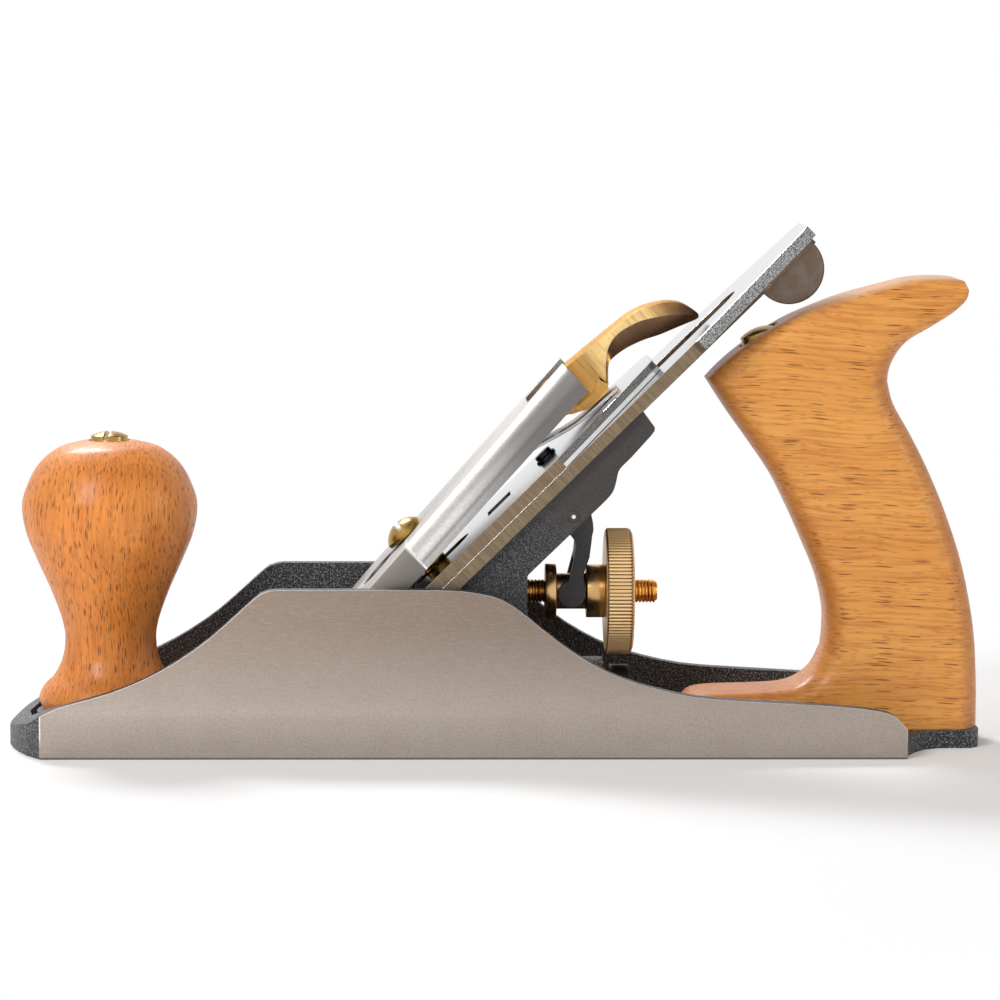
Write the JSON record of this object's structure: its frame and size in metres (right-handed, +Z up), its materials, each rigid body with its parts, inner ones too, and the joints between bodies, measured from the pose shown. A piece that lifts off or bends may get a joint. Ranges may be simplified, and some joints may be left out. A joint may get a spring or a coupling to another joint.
{
  "type": "smoothing plane",
  "caption": "Metal bench plane with a 2 in cutter at about 45 degrees, wooden knob and tote, screw depth adjuster, lateral lever, sliding frog and a lever cap locked by a cam.",
  "frame": {"origin": "middle of the bounding box on the plane of the sole", "axes": "+X from toe to heel, +Y to the far cheek, +Z up from the sole"},
  "size_m": [0.248, 0.062, 0.1327],
  "materials": {
    "ground_iron": "ground cheeks and sole, black inside",
    "black_paint": "coarse black paint on a casting",
    "beech": "satin lacquered beech",
    "brass": "turned and ground brass",
    "steel": "bright steel",
    "dark_steel": "dark steel screws",
    "satin_steel": "satin steel",
    "cutter_steel": "ground faces, brown-grey sides"
  },
  "bodies": {
    "plane_body": {"body_casting": "ground_iron", "front_knob": "beech", "knob_stud": "steel", "knob_nut": "brass", "rear_tote": "beech", "tote_stud": "steel", "tote_nut": "brass", "frog_fixing_screws": "dark_steel", "frog_washers": "steel"},
    "frog": {"frog_casting": "black_paint", "adjuster_stud": "brass", "yoke_pin": "steel", "lateral_rivet": "steel", "lever_cap_screw": "brass", "frog_adjusting_clip": "steel", "frog_clip_screw": "dark_steel"},
    "frog_adjuster": {"frog_adjusting_screw": "steel"},
    "spool": {"adjuster_spool": "brass"},
    "wheel": {"adjuster_wheel": "brass"},
    "yoke": {"yoke": "black_paint"},
    "lateral": {"lateral_lever": "steel"},
    "roller": {"lateral_roller": "steel"},
    "cutter": {"blade": "cutter_steel", "cap_iron": "cutter_steel", "cap_iron_screw": "dark_steel"},
    "lever_cap": {"lever_cap": "satin_steel", "lever_cap_spring": "steel", "spring_rivet": "steel", "cam_pin": "steel"},
    "cam": {"cam_lever": "brass"}
  },
  "joints": [
    {"name": "frog_slide", "type": "slide", "parent": "plane_body", "child": "frog", "axis": [1, 0, 0], "range_m": [-0.001, 0.001]},
    {"name": "frog_screw_turn", "type": "hinge", "parent": "frog", "child": "frog_adjuster", "pos_m": [0.02, 0, 0.0146], "axis": [1, 0, 0], "range_deg": [-341, 341]},
    {"name": "spool_slide", "type": "slide", "parent": "frog", "child": "spool", "axis": [1, 0, 0], "range_m": [-0.0041, 0.0036]},
    {"name": "wheel_turn", "type": "hinge", "parent": "spool", "child": "wheel", "pos_m": [0.0325, 0, 0.0386], "axis": [1, 0, 0], "range_deg": [-1207, 1362]},
    {"name": "yoke_swing", "type": "hinge", "parent": "frog", "child": "yoke", "pos_m": [0.01951, 0, 0.06018], "axis": [0, 1, 0], "range_deg": [-9.5, 10.7]},
    {"name": "lateral_swing", "type": "hinge", "parent": "frog", "child": "lateral", "pos_m": [0.03277, 0, 0.0832], "axis": [-0.7015, 0, 0.7126], "range_deg": [-11.5, 11.5]},
    {"name": "cutter_skew", "type": "hinge", "parent": "frog", "child": "roller", "pos_m": [-0.04063, 0, 0.01094], "axis": [-0.7015, 0, 0.7126], "range_deg": [-1, 1]},
    {"name": "cutter_feed", "type": "slide", "parent": "roller", "child": "cutter", "axis": [0.7126, 0, 0.7015], "range_m": [-0.00195, 0.0022]},
    {"name": "cap_slide", "type": "slide", "parent": "frog", "child": "lever_cap", "axis": [0.7126, 0, 0.7015], "range_m": [0, 0.011]},
    {"name": "cam_lift", "type": "hinge", "parent": "lever_cap", "child": "cam", "pos_m": [0.0162, 0, 0.08863], "axis": [0, -1, 0], "range_deg": [0, 105]}
  ],
  "couplings": [
    {"joint": "frog_screw_turn", "follows": "frog_slide", "rad_per_m": 5928},
    {"joint": "wheel_turn", "follows": "cutter_feed", "rad_per_m": 10799},
    {"joint": "spool_slide", "follows": "cutter_feed", "ratio": -1.8218},
    {"joint": "yoke_swing", "follows": "cutter_feed", "rad_per_m": 84.74},
    {"joint": "cutter_skew", "follows": "lateral_swing", "ratio": -0.0842}
  ]
}
